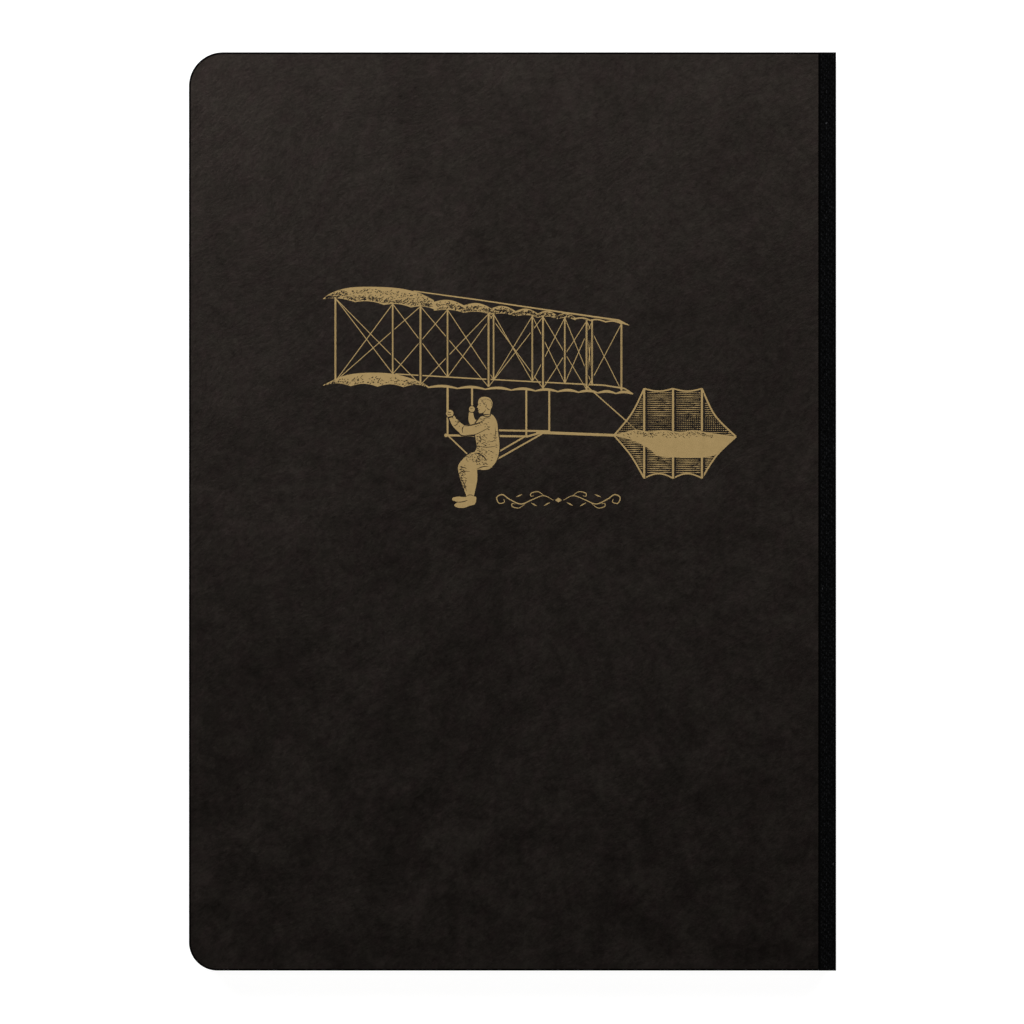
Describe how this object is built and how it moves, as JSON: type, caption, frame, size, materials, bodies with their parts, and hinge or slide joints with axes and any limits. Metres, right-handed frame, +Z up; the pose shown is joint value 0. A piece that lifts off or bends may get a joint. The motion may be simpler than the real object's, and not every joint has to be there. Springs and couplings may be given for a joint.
{
  "type": "pilot logbook",
  "caption": "Sewn softcover logbook with dark leather-look covers, a cloth spine strip, rounded fore-edge corners, opening covers and a page block that opens flat in the middle.",
  "frame": {"origin": "middle of the closed book's bottom face, which is the outside of the front cover", "axes": "+Z up out of the back cover, +Y towards the head along the spine, +X towards the spine"},
  "size_m": [0.148, 0.21, 0.0104],
  "materials": {
    "cover_skin": "matte leather grain",
    "cloth": "woven twill",
    "board": "dyed-through black board, matte",
    "endpaper": "matte",
    "page_paper": "matte",
    "thread": "waxed linen",
    "glue": "satin",
    "lining": "open weave"
  },
  "bodies": {
    "lower_block": {"sheet_01": "page_paper", "sheet_02": "page_paper", "sheet_03": "page_paper", "sheet_04": "page_paper", "sheet_05": "page_paper", "sheet_06": "page_paper", "sheet_07": "page_paper", "sheet_08": "page_paper", "sheet_09": "page_paper", "sheet_10": "page_paper", "sheet_11": "page_paper", "sheet_12": "page_paper", "sheet_13": "page_paper", "sheet_14": "page_paper", "sheet_15": "page_paper", "sewing_thread_1": "thread", "sewing_thread_2": "thread", "sewing_thread_3": "thread", "spine_glue_lower": "glue", "spine_lining_lower": "lining", "spine_cloth": "cloth"},
    "upper_block": {"sheet_16": "page_paper", "sheet_17": "page_paper", "sheet_18": "page_paper", "sheet_19": "page_paper", "sheet_20": "page_paper", "sheet_21": "page_paper", "sheet_22": "page_paper", "sheet_23": "page_paper", "sheet_24": "page_paper", "sheet_25": "page_paper", "sheet_26": "page_paper", "sheet_27": "page_paper", "sheet_28": "page_paper", "sheet_29": "page_paper", "sheet_30": "page_paper", "sewing_thread_4": "thread", "sewing_thread_5": "thread", "sewing_thread_6": "thread", "spine_glue_upper": "glue", "spine_lining_upper": "lining"},
    "front_cover": {"front_skin": "cover_skin", "front_board": "board", "front_pastedown": "endpaper"},
    "front_leaf": {"front_flyleaf": "endpaper"},
    "back_cover": {"back_skin": "cover_skin", "back_board": "board", "back_pastedown": "endpaper"},
    "back_leaf": {"back_flyleaf": "endpaper"}
  },
  "joints": [
    {"name": "middle_opening", "type": "hinge", "parent": "lower_block", "child": "upper_block", "pos_m": [0.07405, 0, 0.00522], "axis": [0, 1, 0], "range_deg": [0, 180], "deforming": ["spine_cloth"]},
    {"name": "back_cover_hinge", "type": "hinge", "parent": "upper_block", "child": "back_cover", "pos_m": [0.07405, 0, 0.0105], "axis": [0, 1, 0], "range_deg": [0, 180], "deforming": ["spine_cloth"]},
    {"name": "back_leaf_hinge", "type": "hinge", "parent": "upper_block", "child": "back_leaf", "pos_m": [0.07405, 0, 0.0105], "axis": [0, 1, 0], "range_deg": [0, 174.6]},
    {"name": "front_cover_hinge", "type": "hinge", "parent": "lower_block", "child": "front_cover", "pos_m": [0.07405, 0, -0.00005], "axis": [0, -1, 0], "range_deg": [0, 180], "deforming": ["spine_cloth"]},
    {"name": "front_leaf_hinge", "type": "hinge", "parent": "lower_block", "child": "front_leaf", "pos_m": [0.07405, 0, -0.00005], "axis": [0, -1, 0], "range_deg": [0, 174.6]}
  ],
  "couplings": [
    {"joint": "back_leaf_hinge", "follows": "back_cover_hinge", "ratio": 0.97},
    {"joint": "front_leaf_hinge", "follows": "front_cover_hinge", "ratio": 0.97}
  ]
}
